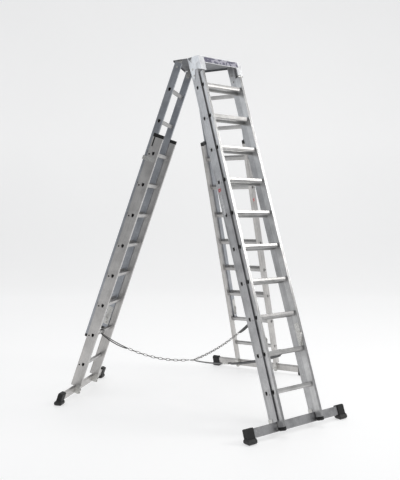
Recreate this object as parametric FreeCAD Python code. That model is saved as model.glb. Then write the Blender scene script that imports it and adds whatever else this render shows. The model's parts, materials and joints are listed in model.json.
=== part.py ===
"""Three-legged extension ladder, free-standing, in millimetres, +Z up.

Three two-section ladder legs meet under a folded sheet-metal head. Leg A is the climbing leg: its
base section is bolted to the head and its fly section slides up past it. Legs B and C are support
legs: each fly section hangs from the head on hinge pins, and each base section slides inside it and
ends in a crossbar with two rubber feet. Low down, a chain and two webbing straps tie the legs
together at a centre ring.

Each leg is drawn in its own leg frame: x across the leg, y towards the hub of the ladder, z up
along the stiles with 0 at level 0. Rung number k sits at z = -k * RUNG_PITCH.
"""
import FreeCAD, Part
import math
import os

from FreeCAD import Placement, Rotation, Vector

# ---- driving dimensions -------------------------------------------------------------------------
# legs
LEAN = 19.4              # lean of every leg from the vertical, degrees
LEVEL_0_HEIGHT = 2936.0  # height of level 0 above the ground
RUNG_PITCH = 280.0
LEG_TURN = {"a": 0.0, "b": 220.0, "c": 113.5}     # turn of each leg about the hub, degrees
LEG_RADIUS = {"a": 95.0, "b": 125.0, "c": 144.0}  # hub to base rung line at level 0
# stiles
BASE_WIDTH = 450.0       # over the base stiles
BASE_BOX = 25.0          # width of a base stile's box across the leg
BASE_INNER = 41.0        # base rung line to the hub side of the stile
BASE_OUTER = 50.0        # base rung line to the outer edge of the guide lip
GUIDE_WALL = 3.0         # thickness of the guide lip
GUIDE_HOOK = 7.0         # turned-in edge of the guide lip
SIDE_CLEARANCE = 12.0    # fly stile in from the outer face of the base stile
FLY_WIDTH = BASE_WIDTH - 2 * SIDE_CLEARANCE
FLY_BOX = 24.0
FLY_DEPTH = 59.0
SLIDE_CLEARANCE = 1.0    # between a base box and the fly box in front of it
WALL = 2.5               # wall of the hollow stiles and bars
EDGE = 1.5               # bevel along the long edges
GROOVE = 1.0             # depth of the ribbing
# rungs
RUNG_DEPTH = 26.0
RUNG_HEIGHT = 34.0
RUNG_WALL = 2.0
RUNG_FIT = 0.15          # rung in its stile hole
COLLAR = 2.5             # thickness of the swaged collar beside each stile
COLLAR_LIP = 2.5
# base rung line to fly rung line: the fly stiles run clear of the base rungs' collars
SUPPORT_GAP = RUNG_DEPTH / 2 + COLLAR_LIP + 1.0 + FLY_DEPTH / 2
SECTION_GAP = {"a": SUPPORT_GAP + 17.0, "b": SUPPORT_GAP, "c": SUPPORT_GAP}
CAP_LENGTH = 28.0        # plastic end cap below a fly stile or above a base stile
CAP_LIP = 1.5
CAP_LID = 30.0           # lid of a base cap above its stile
PAD_LENGTH = 84.0        # guide pad that hangs from a base cap
PAD_WIDTH = 11.0
PAD_MIDDLE = -32.0
GUIDE_HEIGHT = 36.0
DECK_FRONT_GAP = 2.0     # deck edge behind the path of the climbing leg's fly
GUIDE_LEVEL = 3.2        # rung level of the brackets that hold a fly section to its base section
GUIDE_CLEARANCE = 2.0
BAR_LENGTH = 980.0
BAR_HEIGHT = 68.0
BAR_DEPTH = 27.0
BAR_HEIGHT_ABOVE_GROUND = 65.6
BAR_LEVEL = -(LEVEL_0_HEIGHT - BAR_HEIGHT_ABOVE_GROUND + BAR_DEPTH / 2 * math.sin(math.radians(LEAN))) \
    / math.cos(math.radians(LEAN))    # bar centre along the leg
TONGUE_RISE = 12.0       # foot of a stile above the lower edge of its bar
BAR_BOLTS = (-11.0, 17.0)   # bar bolts above the middle of the bar
CLIP_WALL = 3.0
FOOT_WIDTH = 70.0
FOOT_SPACING = BAR_LENGTH - 13.0    # between the middles of a bar's two feet
FOOT_WALL = 8.0
FOOT_DEPTH = BAR_DEPTH + 2 * FOOT_WALL
SOLE_WIDTH = 66.0        # widest part of the rounded sole
FOOT_TREAD = 36.0        # flat strip that stands on the ground
SOLE_HEIGHT = 40.0
SOLE_LIP = 3.0           # sole past each end of the sleeve
SOLE_OFFSET = 16.0       # middle of the sole outside the middle of the bar
FOOT_ANKLE = 20.0        # sleeve below the bar
# sections, by rung level and by stile ends
LAST_RUNG = int((-BAR_LEVEL - 100.0) / RUNG_PITCH)
HOOK_LEVEL = LAST_RUNG - 1    # base rung that a fly section's hooks sit on
BASE_RUNGS = {"a": range(1, LAST_RUNG + 1), "b": range(3, LAST_RUNG + 1), "c": range(3, LAST_RUNG + 1)}
FLY_RUNGS = {"a": range(1, LAST_RUNG + 1), "b": range(1, HOOK_LEVEL), "c": range(1, HOOK_LEVEL)}
BASE_TOP = {"a": -14.0, "b": -2.5 * RUNG_PITCH, "c": -2.5 * RUNG_PITCH}
FLY_TOP = {"a": -165.0, "b": -48.0, "c": -48.0}
SUPPORT_FLY_BOTTOM = -HOOK_LEVEL * RUNG_PITCH - 10.0
FLY_BOTTOM = {"a": BAR_LEVEL - 6.0, "b": SUPPORT_FLY_BOTTOM, "c": SUPPORT_FLY_BOTTOM}
# head
SHEET = 3.0
HEAD_TOP = LEVEL_0_HEIGHT + 3.0     # top of the deck above the ground
FOLD_REACH = {"b": 112.0, "c": 190.0}             # hub to the fold between deck and wing
WING_SLOPE = 7.0         # fall of each wing, degrees
WING_OVERHANG = 13.0     # wing past the top of its fly stiles, which swings out as the leg folds
WING_WIDTH = FLY_WIDTH + 6.0
WING_SKIRT = 14.0
DECK_CORNER_GAP = 5.0    # deck fold to the hub side of the head's side plates
PANEL_HEIGHT = 60.0
EAR_WIDTH = 52.0
EAR_HEIGHT = 128.0
PANEL_CLEARANCE = 4.0    # between the climbing leg's fly and the front panel
HINGE_LEVEL = FLY_TOP["b"] - 38.0   # hinge pins of legs B and C, along the leg
HINGE_PIN = 12.0
HINGE_FIT = 0.05         # radial running fit of a hinge pin
LUG_WALL = 5.0
LUG_GAP = 1.0
BOLT = 10.0
BOLT_HEAD = 17.0
BOLT_HEAD_HEIGHT = 5.0
LOCK_PIN = 9.0
# rung hooks at the foot of each fly section
HOOK_WALL = 6.0
HOOK_LIFT = 36.0         # hook pivot above the rung line
HOOK_RELEASE = 120.0     # the hooks stand swung clear of the rungs, degrees
HOOK_PIN = 8.0
SHOE_WALL = 2.5
SHOE_HEIGHT = 200.0
# tether
TETHER_LEVEL = HOOK_LEVEL
RING_DROP = 224.2        # ring below the rungs that the arms hang from
RING_CENTRE = Vector(-86.0, 66.0, LEVEL_0_HEIGHT - RING_DROP
                     - TETHER_LEVEL * RUNG_PITCH * math.cos(math.radians(LEAN)))
RING_RADIUS = 21.0
RING_WIRE = 6.0
CHAIN_WIRE = 5.5
CHAIN_PITCH = 34.0       # inside length of a link
CHAIN_WIDTH = 22.0       # outside width of a link
STRAP_WIDTH = 25.0
STRAP_THICKNESS = 1.8
LOOP_RADIUS = math.hypot(RUNG_DEPTH / 2, RUNG_HEIGHT / 2 - 2) + 0.2   # inside the eye round a rung
RING_GAP = 3.0           # between the ring and the end of each arm
ARM_SAG = {"a": 45.0, "b": 76.0, "c": 42.0}       # sag of each arm at its middle
STRAP_SHARE = {"a": 0.56, "b": 0.32, "c": 0.25}   # share of each arm that is webbing from the rung
BUCKLE_SHARE = 0.59      # buckle's place along the climbing leg's arm
SHORT_STRAP_SHARE = 0.62
LEVER_STATION = 8.0      # lever's pin along the buckle
LEVER_LIFT = 6.0
LEVER_PIN = 5.0

X_AXIS = Vector(1, 0, 0)
Y_AXIS = Vector(0, 1, 0)
Z_AXIS = Vector(0, 0, 1)
SIDES = {"left": -1, "right": 1}
HINGED_LEGS = ("b", "c")


# ---- frames -------------------------------------------------------------------------------------
def leg_frame(leg):
    """Placement that takes a leg's own frame to the ladder's frame."""
    turn = Placement(Vector(0, 0, LEVEL_0_HEIGHT), Rotation(Z_AXIS, LEG_TURN[leg]))
    lean = Placement(Vector(0, -LEG_RADIUS[leg], 0), Rotation(X_AXIS, -LEAN))
    return turn.multiply(lean)


def ground_frame(leg):
    """Placement of a leg's upright frame: x across, y towards the hub, z up from the ground."""
    return Placement(Vector(0, 0, 0), Rotation(Z_AXIS, LEG_TURN[leg]))


def placed(shape, placement):
    moved = shape.copy()
    moved.Placement = placement.multiply(moved.Placement)
    return moved


# ---- small shape helpers ------------------------------------------------------------------------
def box(x, y, z):
    """Box between three (low, high) pairs."""
    corner = Vector(min(x), min(y), min(z))
    return Part.makeBox(abs(x[1] - x[0]), abs(y[1] - y[0]), abs(z[1] - z[0]), corner)


def cylinder(radius, start, axis, length):
    return Part.makeCylinder(radius, length, start, axis)


def bevelled(low, high, bevel):
    """Corner points of a rectangle with bevelled corners."""
    (x0, y0), (x1, y1) = low, high
    return [(x0 + bevel, y0), (x1 - bevel, y0), (x1, y0 + bevel), (x1, y1 - bevel),
            (x1 - bevel, y1), (x0 + bevel, y1), (x0, y1 - bevel), (x0, y0 + bevel)]


def prism_z(points, z0, z1):
    """Solid over an (x, y) outline between two heights."""
    wire = Part.makePolygon([Vector(x, y, z0) for x, y in points + points[:1]])
    return Part.Face(wire).extrude(Vector(0, 0, z1 - z0))


def prism_x(points, x0, x1):
    """Solid over a (y, z) outline between two stations across the leg."""
    wire = Part.makePolygon([Vector(x0, y, z) for y, z in points + points[:1]])
    return Part.Face(wire).extrude(Vector(x1 - x0, 0, 0))


def prism_y(points, y0, y1):
    """Solid over an (x, z) outline between two stations along the leg's y."""
    wire = Part.makePolygon([Vector(x, y0, z) for x, z in points + points[:1]])
    return Part.Face(wire).extrude(Vector(0, y1 - y0, 0))


def across(side, edge, depth):
    """Station across the leg, a depth in from the outer face of one side."""
    return side * (edge - depth)


def group(solids):
    return Part.makeCompound(solids)


def cut_all(shape, tools):
    return shape.cut(Part.makeCompound(tools)) if tools else shape


def fused(shapes):
    return shapes[0].multiFuse(shapes[1:]).removeSplitter()


def hex_bolt(start, axis, length):
    """Bolt with a round-edged hexagon head behind its start point and a nut at its far end."""
    turn = Rotation(Z_AXIS, axis)
    corners = [Vector(BOLT_HEAD / 2 / math.cos(math.pi / 6), 0, 0)]
    for step in range(1, 7):
        corners.append(Rotation(Z_AXIS, 60 * step).multVec(corners[0]))
    head = Part.Face(Part.makePolygon(corners)).extrude(Vector(0, 0, -BOLT_HEAD_HEIGHT))
    nut = head.copy()
    nut.translate(Vector(0, 0, length + BOLT_HEAD_HEIGHT))
    shank = Part.makeCylinder(BOLT / 2, length + BOLT_HEAD_HEIGHT + 2)
    return placed(fused([head, shank, nut]), Placement(start, turn))


# ---- rungs --------------------------------------------------------------------------------------
def rung_outline(grow):
    """(y, z) outline of a rung: flat ribbed tread on top, sides that taper to a narrower foot."""
    half = RUNG_DEPTH / 2 + grow
    top = RUNG_HEIGHT / 2 - 2 + grow
    foot = -RUNG_HEIGHT / 2 - 2 - grow
    return [(-half, top - 2), (-half + 2, top), (half - 2, top), (half, top - 2), (half, -4),
            (half - 4, foot + 3), (half - 8, foot), (-half + 8, foot), (-half + 4, foot + 3),
            (-half, -4)]


def rung(half_length, inner_face, y, z):
    """One rung through both stiles, with a swaged collar against each stile's inner face."""
    tube = prism_x(rung_outline(0), -half_length, half_length)
    collars = [prism_x(rung_outline(COLLAR_LIP), side * inner_face, side * (inner_face - COLLAR))
               for side in SIDES.values()]
    bore = prism_x(rung_outline(-RUNG_WALL), -half_length - 1, half_length + 1)
    tread = RUNG_HEIGHT / 2 - 2
    ribs = [box((-inner_face + COLLAR + 2, inner_face - COLLAR - 2), (rib - 1.1, rib + 1.1),
                (tread - 0.8, tread + 1)) for rib in (-8.8, -4.4, 0.0, 4.4, 8.8)]
    shape = cut_all(fused([tube] + collars), [bore] + ribs)
    shape.translate(Vector(0, y, z))
    return shape


def rung_holes(levels, y, x0, x1):
    """Rung-shaped cutters through a stile, one for each level."""
    holes = []
    for level in levels:
        hole = prism_x(rung_outline(RUNG_FIT), min(x0, x1), max(x0, x1))
        hole.translate(Vector(0, y, -level * RUNG_PITCH))
        holes.append(hole)
    return holes


# ---- base sections ------------------------------------------------------------------------------
def base_box_outer(leg):
    """y of the face of the base stile's box that the fly stile slides along."""
    return -(SECTION_GAP[leg] - FLY_DEPTH / 2) + SLIDE_CLEARANCE


def bar_top():
    return BAR_LEVEL + BAR_HEIGHT / 2


def stile_bottom():
    return BAR_LEVEL - BAR_HEIGHT / 2 + TONGUE_RISE


def base_stile(leg, side):
    """Hollow box stile with a guide lip along its outer edge, notched at the foot for the bar."""
    edge = BASE_WIDTH / 2
    outer = base_box_outer(leg)
    top, bottom = BASE_TOP[leg], stile_bottom()
    box_points = bevelled((0, outer), (BASE_BOX, BASE_INNER), EDGE)
    core_points = bevelled((WALL, outer + WALL), (BASE_BOX - WALL, BASE_INNER - WALL), EDGE)
    to_x = lambda points: [(across(side, edge, u), y) for u, y in points]
    body = prism_z(to_x(box_points), bottom, top)
    body = body.cut(prism_z(to_x(core_points), bottom - 1, top + 1))
    lip = [(0, outer + 2 * EDGE), (GUIDE_WALL, outer + 2 * EDGE), (GUIDE_WALL, GUIDE_WALL - BASE_OUTER),
           (GUIDE_HOOK, GUIDE_WALL - BASE_OUTER), (GUIDE_HOOK, -BASE_OUTER), (0, -BASE_OUTER)]
    lip_bottom = bar_top() + 2
    body = fused([body, prism_z(to_x(lip), lip_bottom, top)])
    edge_x = across(side, edge, -1)
    cuts = rung_holes(BASE_RUNGS[leg], 0, edge_x, across(side, edge, BASE_BOX + 1))
    cuts.append(box((edge_x, across(side, edge, BASE_BOX + 1)), (-BASE_OUTER - 1, 0),
                    (bottom - 1, bar_top())))
    for level in BASE_RUNGS[leg]:
        cuts.append(cylinder(4.5, Vector(edge_x, -33, -level * RUNG_PITCH - 14),
                             Vector(-side, 0, 0), 5))
    for y in (BASE_INNER - 14, 20):
        cuts.append(box((edge_x, across(side, edge, 0.6)), (y - 0.8, y + 0.8), (bottom - 1, top + 1)))
    return cut_all(body, cuts)


def base_rungs(leg):
    inner = BASE_WIDTH / 2 - BASE_BOX
    return group([rung(BASE_WIDTH / 2 - 0.5, inner, 0, -level * RUNG_PITCH)
                  for level in BASE_RUNGS[leg]])


def base_caps(leg):
    """Black caps on a support leg's base stiles, each with a guide pad down the outside of the lip."""
    outer = base_box_outer(leg)
    top = BASE_TOP[leg]
    edge = BASE_WIDTH / 2
    caps = []
    for side in SIDES.values():
        lid = prism_z([(across(side, edge, u), y) for u, y in
                       bevelled((-CAP_LIP, outer + 0.5), (BASE_BOX + CAP_LIP, BASE_INNER + CAP_LIP), 4)],
                      top, top + CAP_LID)
        lip_lid = prism_z([(across(side, edge, u), y) for u, y in
                           bevelled((-CAP_LIP, -BASE_OUTER - CAP_LIP),
                                    (SIDE_CLEARANCE - CAP_LIP, outer + 4), 3)], top, top + CAP_LID)
        pad = box((across(side, edge, -CAP_LIP), across(side, edge, 0)),
                  (PAD_MIDDLE - PAD_WIDTH / 2, PAD_MIDDLE + PAD_WIDTH / 2), (top - PAD_LENGTH, top + 1))
        plug = prism_z([(across(side, edge, u), y) for u, y in
                        bevelled((WALL, outer + WALL), (BASE_BOX - WALL, BASE_INNER - WALL), EDGE)],
                       top - 20, top)
        caps.append(fused([lid, lip_lid, pad, plug]))
    return group(caps)


def guide_brackets(leg):
    """Folded brackets on the base stile tops that wrap round the fly stiles."""
    edge = BASE_WIDTH / 2
    level = -GUIDE_LEVEL * RUNG_PITCH
    reach = -(SECTION_GAP[leg] + FLY_DEPTH / 2) - GUIDE_CLEARANCE
    brackets = []
    for side in SIDES.values():
        web = box((across(side, edge, -SHEET), across(side, edge, 0)), (BASE_INNER - 8, reach - SHEET),
                  (level - GUIDE_HEIGHT / 2, level + GUIDE_HEIGHT / 2))
        front = box((across(side, edge, 0), across(side, edge, 30)), (reach, reach - SHEET),
                    (level - GUIDE_HEIGHT / 2, level + GUIDE_HEIGHT / 2))
        rivets = [cylinder(5, Vector(across(side, edge, -SHEET), y, level + dz), Vector(side, 0, 0), 2.5)
                  for y, dz in ((BASE_INNER - 20, 9), (BASE_INNER - 20, -9))]
        brackets.append(fused([web, front] + rivets))
    return group(brackets)


def crossbar(leg):
    """Hollow rounded bar that the two base stiles stand on."""
    half = BAR_LENGTH / 2
    low, high = BAR_LEVEL - BAR_HEIGHT / 2, BAR_LEVEL + BAR_HEIGHT / 2
    skin = prism_x(bevelled((-BAR_DEPTH, low), (0, high), 3), -half, half)
    core = prism_x(bevelled((WALL - BAR_DEPTH, low + WALL), (-WALL, high - WALL), 2), -half - 1, half + 1)
    holes = [cylinder(BOLT / 2, Vector(x, -BAR_DEPTH - 1, z), Y_AXIS, BAR_DEPTH + 2)
             for x, z in bar_bolt_places()]
    grooves = [box((-half, half), (-BAR_DEPTH - 1, GROOVE - BAR_DEPTH), (z - 1.5, z + 1.5))
               for z in (BAR_LEVEL - 29, BAR_LEVEL + 29)]
    return cut_all(skin, [core] + holes + grooves)


def bar_bolt_places():
    middle = BASE_WIDTH / 2 - BASE_BOX / 2
    return [(side * middle, BAR_LEVEL + dz) for side in SIDES.values() for dz in BAR_BOLTS]


def bar_clips(leg):
    """U-shaped clips round the stile tongues behind the bar."""
    edge = BASE_WIDTH / 2
    low, high = stile_bottom() + 1, BAR_LEVEL + BAR_HEIGHT / 2 + 24
    clips = []
    for side in SIDES.values():
        outer = box((across(side, edge, -CLIP_WALL), across(side, edge, BASE_BOX + CLIP_WALL)),
                    (0.4, BASE_INNER + CLIP_WALL), (low, high))
        inner = box((across(side, edge, 0), across(side, edge, BASE_BOX)), (-1, BASE_INNER),
                    (low - 1, high + 1))
        clips.append(outer.cut(inner))
    holes = [cylinder(BOLT / 2, Vector(x, 0, z), Y_AXIS, BASE_INNER + 9) for x, z in bar_bolt_places()]
    return group([cut_all(clip, holes) for clip in clips])


def leg_bolts(leg):
    """Bolts through bar, tongue and clip; the climbing leg also has those of the head's side plates."""
    length = BAR_DEPTH + BASE_INNER + CLIP_WALL
    bolts = [hex_bolt(Vector(x, -BAR_DEPTH, z), Y_AXIS, length) for x, z in bar_bolt_places()]
    return group(bolts + yoke_bolts() if leg == "a" else bolts)


def bolted_stile(leg, side):
    """Base stile with the bar's bolt holes drilled through its tongue."""
    drills = [cylinder(BOLT / 2, Vector(x, -1, z), Y_AXIS, BASE_INNER + 2)
              for x, z in bar_bolt_places() if x * side > 0]
    return cut_all(base_stile(leg, side), drills)


def foot(leg, side):
    """Rubber shoe: a leaning sleeve over one end of the bar on a rounded tread flat on the ground."""
    reach = LEG_RADIUS[leg] + BAR_DEPTH / 2 * math.cos(math.radians(LEAN)) \
        - BAR_LEVEL * math.sin(math.radians(LEAN))
    half, tread, bulge = FOOT_DEPTH / 2, FOOT_TREAD / 2, SOLE_WIDTH / 2
    middle = side * FOOT_SPACING / 2
    start, finish = middle - FOOT_WIDTH / 2, middle + FOOT_WIDTH / 2
    low, high = BAR_LEVEL - BAR_HEIGHT / 2, BAR_LEVEL + BAR_HEIGHT / 2
    sleeve = prism_x(bevelled((-BAR_DEPTH / 2 - half, low - FOOT_ANKLE),
                              (half - BAR_DEPTH / 2, high + FOOT_WALL), FOOT_WALL - 1), start, finish)
    profile = [(-tread, 0), (-bulge + 6, 4), (-bulge, 13), (-bulge, 27), (-half, SOLE_HEIGHT),
               (half, SOLE_HEIGHT), (bulge, 27), (bulge, 13), (bulge - 6, 4), (tread, 0)]
    heel, toe = start - SOLE_LIP, finish + SOLE_LIP
    ends = [(heel + 12, 0), (heel + 4, 4), (heel, 12), (heel, SOLE_HEIGHT), (toe, SOLE_HEIGHT),
            (toe, 12), (toe - 4, 4), (toe - 12, 0)]
    sole = prism_x(profile, heel, toe).common(prism_y(ends, -bulge, bulge))
    grooves = [box((heel, toe), (y - 1.5, y + 1.5), (-1, 3)) for y in (-11, 11)]
    sole = cut_all(sole, grooves)
    sole.translate(Vector(0, -reach - SOLE_OFFSET, 0))
    end = middle + side * FOOT_WIDTH / 2
    ribs = [box((end - side * 1.5, end + side), (-BAR_DEPTH / 2 - half + 8, half - BAR_DEPTH / 2 - 8), (z, z + 4))
            for z in (BAR_LEVEL + dz for dz in (-24, -12, 0, 12, 24))]
    shoe = fused([placed(cut_all(sleeve, ribs), leg_frame(leg)), placed(sole, ground_frame(leg))])
    socket = prism_x(bevelled((-BAR_DEPTH, low), (0, high), 3),
                     min(0, side * BAR_LENGTH / 2), max(0, side * BAR_LENGTH / 2))
    return shoe.cut(placed(socket, leg_frame(leg)))


# ---- fly sections -------------------------------------------------------------------------------
def fly_stile(leg, side):
    """Hollow box stile with a ribbed outer flange."""
    edge = FLY_WIDTH / 2
    near, far = -(SECTION_GAP[leg] - FLY_DEPTH / 2), -(SECTION_GAP[leg] + FLY_DEPTH / 2)
    top, bottom = FLY_TOP[leg], FLY_BOTTOM[leg]
    to_x = lambda points: [(across(side, edge, u), y) for u, y in points]
    body = prism_z(to_x(bevelled((0, far), (FLY_BOX, near), EDGE)), bottom, top)
    core = prism_z(to_x(bevelled((WALL, far + WALL), (FLY_BOX - WALL, near - WALL), EDGE)),
                   bottom - 1, top + 1)
    edge_x = across(side, edge, -1)
    cuts = [core] + rung_holes(FLY_RUNGS[leg], -SECTION_GAP[leg], edge_x,
                               across(side, edge, FLY_BOX + 1))
    for u in (6, 10, 14, 18):
        cuts.append(box((across(side, edge, u - 1), across(side, edge, u + 1)),
                        (far - 1, far + GROOVE), (bottom - 1, top + 1)))
    if leg != "a":
        cuts.append(cylinder(HINGE_PIN / 2 + HINGE_FIT, Vector(edge_x, -SECTION_GAP[leg], HINGE_LEVEL),
                             Vector(-side, 0, 0), FLY_BOX + 2))
    return cut_all(body, cuts)


def fly_rungs(leg):
    inner = FLY_WIDTH / 2 - FLY_BOX
    return group([rung(FLY_WIDTH / 2 - 0.5, inner, -SECTION_GAP[leg], -level * RUNG_PITCH)
                  for level in FLY_RUNGS[leg]])


def fly_caps(leg):
    """Black plastic caps under the fly stiles."""
    near, far = -(SECTION_GAP[leg] - FLY_DEPTH / 2), -(SECTION_GAP[leg] + FLY_DEPTH / 2)
    bottom = FLY_BOTTOM[leg]
    caps = []
    for side in SIDES.values():
        edge = FLY_WIDTH / 2
        lid = prism_z([(across(side, edge, u), y) for u, y in
                       bevelled((-CAP_LIP, far - CAP_LIP), (FLY_BOX + CAP_LIP, near), 5)],
                      bottom - CAP_LENGTH, bottom)
        lower_edges = [edge_line for edge_line in lid.Edges
                       if edge_line.BoundBox.ZMax < bottom - CAP_LENGTH + 0.1]
        lid = lid.makeChamfer(6, lower_edges)
        plug = prism_z([(across(side, edge, u), y) for u, y in
                        bevelled((WALL, far + WALL), (FLY_BOX - WALL, near - WALL), EDGE)],
                       bottom, bottom + 20)
        caps.append(fused([lid, plug]))
    return group(caps)


def hook_pivot(leg):
    return -SECTION_GAP[leg], -HOOK_LEVEL * RUNG_PITCH + HOOK_LIFT


def fly_shoes(leg):
    """Bright plates inside the foot of each fly stile, each with the hook's pivot stud."""
    near, far = -(SECTION_GAP[leg] - FLY_DEPTH / 2), -(SECTION_GAP[leg] + FLY_DEPTH / 2)
    inner = FLY_WIDTH / 2 - FLY_BOX
    pivot_y, pivot_z = hook_pivot(leg)
    low, high = pivot_z - 16, pivot_z + SHOE_HEIGHT - 40
    plates = []
    for side in SIDES.values():
        face = side * inner
        plate = box((face, face - side * SHOE_WALL), (near - 4, far + 4), (low, high))
        stud = cylinder(HOOK_PIN / 2, Vector(face - side * SHOE_WALL, pivot_y, pivot_z),
                        Vector(-side, 0, 0), HOOK_WALL + 4)
        head = cylinder(HOOK_PIN / 2 + 4, Vector(face - side * (SHOE_WALL + HOOK_WALL + 1), pivot_y, pivot_z),
                        Vector(-side, 0, 0), 3)
        plates.append(fused([plate, stud, head]))
    return group(plates)


def rung_hooks(leg):
    """Swinging hooks that sit on a base rung; drawn swung up, clear of the rungs."""
    pivot_y, pivot_z = hook_pivot(leg)
    inner = FLY_WIDTH / 2 - FLY_BOX - SHOE_WALL - 0.5
    seat = -HOOK_LEVEL * RUNG_PITCH + RUNG_HEIGHT / 2 - 2 + 1
    jaw = RUNG_DEPTH / 2 + 1.5
    outline = [(pivot_y - 11, pivot_z - 6), (pivot_y - 6, pivot_z - 11), (pivot_y + 8, pivot_z - 11),
               (-jaw, seat), (jaw, seat), (jaw, seat - 16), (jaw + 8, seat - 16),
               (jaw + 8, seat + 8), (jaw + 2, seat + 14), (pivot_y + 6, pivot_z + 11),
               (pivot_y - 6, pivot_z + 11), (pivot_y - 11, pivot_z + 6)]
    hooks = []
    for side in SIDES.values():
        plate = prism_x(outline, side * inner, side * (inner - HOOK_WALL))
        plate = plate.cut(cylinder(HOOK_PIN / 2 + HINGE_FIT, Vector(side * (inner + 1), pivot_y, pivot_z),
                                   Vector(-side, 0, 0), HOOK_WALL + 2))
        plate.rotate(Vector(0, pivot_y, pivot_z), X_AXIS, HOOK_RELEASE)
        hooks.append(plate)
    return group(hooks)


# ---- head ---------------------------------------------------------------------------------------
def leg_direction(leg):
    angle = math.radians(LEG_TURN[leg] - 90)
    return Vector(math.cos(angle), math.sin(angle), 0)


def fold_crossing(leg_1, leg_2):
    """Plan point where the fold lines of two legs meet."""
    first, second = leg_direction(leg_1), leg_direction(leg_2)
    reach_1, reach_2 = FOLD_REACH[leg_1], FOLD_REACH[leg_2]
    det = first.x * second.y - first.y * second.x
    return Vector((reach_1 * second.y - reach_2 * first.y) / det,
                  (first.x * reach_2 - second.x * reach_1) / det, 0)


def fold_point(leg, y):
    """Plan point on a leg's fold line at a given y."""
    out = leg_direction(leg)
    return Vector((FOLD_REACH[leg] - out.y * y) / out.x, y, 0)


def radius_at(leg, y, z):
    """Distance from the hub of a point given in a leg's frame."""
    lean = math.radians(LEAN)
    return LEG_RADIUS[leg] - y * math.cos(lean) - z * math.sin(lean)


def head_level(y):
    """z of the head's top plane in the climbing leg's frame, at a given y."""
    lean = math.radians(LEAN)
    return (HEAD_TOP - LEVEL_0_HEIGHT + y * math.sin(lean)) / math.cos(lean)


def wing_reach(leg):
    return radius_at(leg, -(SECTION_GAP[leg] + FLY_DEPTH / 2), FLY_TOP[leg]) + WING_OVERHANG


def wing_drop(leg):
    return (wing_reach(leg) - FOLD_REACH[leg]) * math.tan(math.radians(WING_SLOPE))


def sheet_between(corners):
    """Sheet-metal plate whose top face has the given corners."""
    face = Part.Face(Part.makePolygon(corners + corners[:1]))
    return face.extrude(Vector(0, 0, -SHEET))


def wing(leg, fold_ends):
    """Sloping wing of the deck over one support leg, with a turned-down outer edge."""
    out = leg_direction(leg)
    tangent = Vector(-out.y, out.x, 0)
    middle = out * wing_reach(leg) + Vector(0, 0, HEAD_TOP - wing_drop(leg))
    ends = [middle + tangent * (side * WING_WIDTH / 2) for side in (-1, 1)]
    fold_ends = sorted(fold_ends, key=tangent.dot)
    plate = sheet_between([fold_ends[0], ends[0], ends[1], fold_ends[1]])
    down = Vector(0, 0, -WING_SKIRT)
    skirt = Part.Face(Part.makePolygon([ends[0], ends[1], ends[1] + down, ends[0] + down, ends[0]]))
    return fused([plate, skirt.extrude(out * SHEET)])


def head_deck():
    """Folded deck: a flat top between the side plates with a wing over each support leg."""
    up = Vector(0, 0, HEAD_TOP)
    half = BASE_WIDTH / 2
    front = -radius_at("a", base_box_outer("a"), head_level(base_box_outer("a")) - SHEET) + DECK_FRONT_GAP
    back = -radius_at("a", BASE_INNER, head_level(BASE_INNER)) + DECK_CORNER_GAP
    corner_c, corner_cb, corner_b = fold_point("c", back), fold_crossing("c", "b"), fold_point("b", back)
    flat = sheet_between([Vector(-half, front, 0) + up, Vector(half, front, 0) + up,
                          Vector(half, back, 0) + up, corner_c + up, corner_cb + up, corner_b + up,
                          Vector(-half, back, 0) + up])
    return fused([flat, wing("c", [corner_c + up, corner_cb + up]),
                  wing("b", [corner_cb + up, corner_b + up])])


def hinge_lugs(leg):
    """Pair of upright lugs under a wing, just inside the fly stiles, with the hinge pin holes."""
    inner = FLY_WIDTH / 2 - FLY_BOX - LUG_GAP
    gap = SECTION_GAP[leg]
    radius = 17.0
    roof = HINGE_LEVEL + 74
    lugs = []
    for side in SIDES.values():
        x0, x1 = sorted((side * inner, side * (inner - LUG_WALL)))
        plate = box((x0, x1), (-gap - radius, -gap + radius), (HINGE_LEVEL, roof))
        ear = cylinder(radius, Vector(x0, -gap, HINGE_LEVEL), X_AXIS, LUG_WALL)
        lug = fused([plate, ear])
        lug = lug.cut(cylinder(HINGE_PIN / 2, Vector(x0 - 1, -gap, HINGE_LEVEL), X_AXIS, LUG_WALL + 2))
        lugs.append(placed(lug, leg_frame(leg)))
    above_deck = box((-1000, 1000), (-1000, 1000), (HEAD_TOP - SHEET, HEAD_TOP + 1000))
    return [cut_all(lug, [above_wing(leg), above_deck]).cut(head_deck()) for lug in lugs]


def above_wing(leg):
    """Block over the underside of a wing, used to trim what meets it."""
    out = leg_direction(leg)
    tangent = Vector(-out.y, out.x, 0)
    run = 1000.0
    fold = out * FOLD_REACH[leg] + Vector(0, 0, HEAD_TOP - SHEET)
    fall = Vector(0, 0, -run * math.tan(math.radians(WING_SLOPE)))
    inner, outer = fold - out * run - fall, fold + out * run + fall
    corners = [inner - tangent * run, outer - tangent * run, outer + tangent * run, inner + tangent * run]
    face = Part.Face(Part.makePolygon(corners + corners[:1]))
    return face.extrude(Vector(0, 0, run))


def hinge_pins(leg):
    """Headed pins through the fly stiles and the lugs."""
    pins = []
    outer, inner = FLY_WIDTH / 2, FLY_WIDTH / 2 - FLY_BOX - LUG_GAP - LUG_WALL
    for side in SIDES.values():
        start = Vector(side * (outer + 1), -SECTION_GAP[leg], HINGE_LEVEL)
        length = outer + 1 - inner + 6
        shank = cylinder(HINGE_PIN / 2, start, Vector(-side, 0, 0), length)
        head = cylinder(HINGE_PIN / 2 + 4, start, Vector(side, 0, 0), 5)
        clip = cylinder(HINGE_PIN / 2 + 3, Vector(side * inner, start.y, start.z), Vector(-side, 0, 0), 3)
        pins.append(fused([shank, head, clip]))
    return pins


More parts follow.
